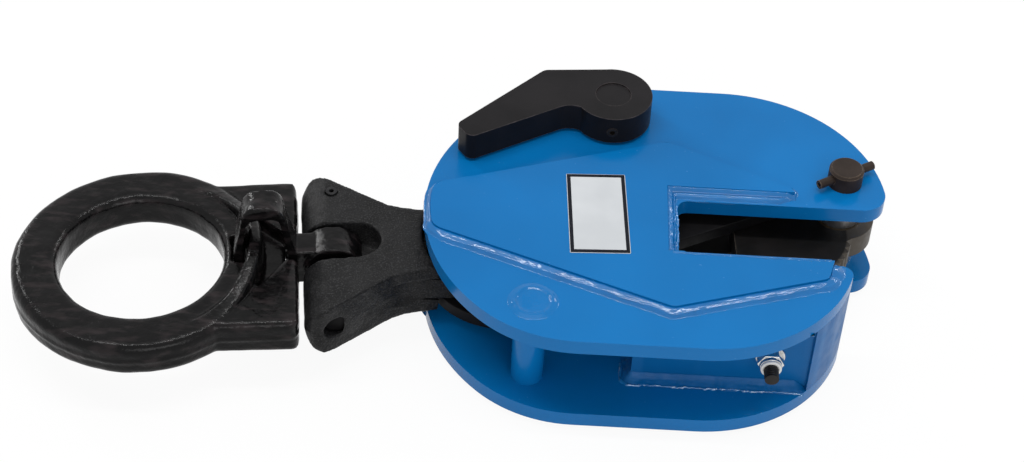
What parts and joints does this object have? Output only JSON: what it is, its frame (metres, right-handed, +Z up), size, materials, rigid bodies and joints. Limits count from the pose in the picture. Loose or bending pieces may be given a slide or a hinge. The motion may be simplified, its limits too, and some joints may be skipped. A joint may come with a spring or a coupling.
{
  "type": "vertical lifting clamp",
  "caption": "Lifting clamp for steel plate with a toothed cam, swivel jaw, lock lever, hoist arm and hinged lifting ring, lying on its side.",
  "frame": {"origin": "centre of the whole part's footprint, on the ground under the lower reinforcing plate", "axes": "+X from the lifting ring to the jaw, +Z up through the two side plates, +Y to the lock lever's side"},
  "size_m": [0.3788, 0.1642, 0.0696],
  "materials": {
    "body_paint": "glossy paint",
    "weld_paint": "painted weld",
    "black_oxide": "black oxide",
    "bare_steel": "machined",
    "zinc": "zinc plated",
    "bronze": "machined",
    "cast_matt": "rough matt black",
    "cast_gloss": "glossy black paint"
  },
  "bodies": {
    "frame": {"upper_plate": "body_paint", "lower_plate": "body_paint", "upper_doubler": "body_paint", "lower_doubler": "body_paint", "upper_weld": "weld_paint", "lower_weld": "weld_paint", "near_post": "body_paint", "far_post": "body_paint", "plug_welds": "weld_paint", "jaw_block": "body_paint", "jaw_block_welds": "weld_paint", "cam_pin": "black_oxide", "cam_pin_clip": "black_oxide", "cam_spacers": "bare_steel", "jaw_bolt": "black_oxide", "jaw_washer": "zinc", "jaw_nut": "zinc"},
    "pad": {"jaw_pad": "bare_steel"},
    "cam_body": {"cam": "black_oxide", "cam_bush": "bronze", "link_pin": "bare_steel", "link_pin_rings": "black_oxide"},
    "coupling": {"upper_coupling": "black_oxide", "lower_coupling": "black_oxide", "arm_pin": "bare_steel", "arm_pin_rings": "black_oxide", "spring_post": "bare_steel"},
    "lever": {"lock_lever": "black_oxide", "lever_pin": "bare_steel", "lever_washer": "bare_steel", "lever_shaft": "black_oxide", "shaft_ring": "bare_steel", "lock_crank": "black_oxide", "lock_spring": "bare_steel"},
    "arm": {"hoist_arm": "cast_matt", "cross_pin": "bare_steel", "cross_pin_lock": "black_oxide"},
    "link": {"connecting_link": "cast_gloss"},
    "ring": {"lifting_ring": "cast_gloss"}
  },
  "joints": [
    {"name": "cam_hinge", "type": "hinge", "parent": "frame", "child": "cam_body", "pos_m": [0.1718, 0.02563, 0.0287], "axis": [0, 0, 1], "range_deg": [-52, 0]},
    {"name": "coupling_hinge", "type": "hinge", "parent": "cam_body", "child": "coupling", "pos_m": [0.15058, 0.03788, 0.0287], "axis": [0, 0, 1], "range_deg": [0, 57.8]},
    {"name": "arm_hinge", "type": "hinge", "parent": "coupling", "child": "arm", "pos_m": [0.0228, -0.00537, 0.0287], "axis": [0, 0, 1], "range_deg": [-27, 13]},
    {"name": "link_hinge", "type": "hinge", "parent": "arm", "child": "link", "pos_m": [-0.0514, -0.0165, 0.0287], "axis": [-0.1219, 0.9925, 0], "range_deg": [-60, 60]},
    {"name": "ring_rock", "type": "hinge", "parent": "link", "child": "ring", "pos_m": [-0.0845, -0.02056, 0.0287], "axis": [-0.1219, 0.9925, 0], "range_deg": [-1.5, 1.5]},
    {"name": "lever_hinge", "type": "hinge", "parent": "frame", "child": "lever", "pos_m": [0.0681, 0.05933, 0.0287], "axis": [0, 0, 1], "range_deg": [-140, 0], "deforming": ["lock_spring"]},
    {"name": "pad_spin", "type": "hinge", "parent": "frame", "child": "pad", "pos_m": [0.1378, -0.02787, 0.0287], "axis": [0, 1, 0], "continuous": true}
  ],
  "couplings": [
    {"joint": "coupling_hinge", "follows": "cam_hinge", "ratio": -1.108}
  ]
}
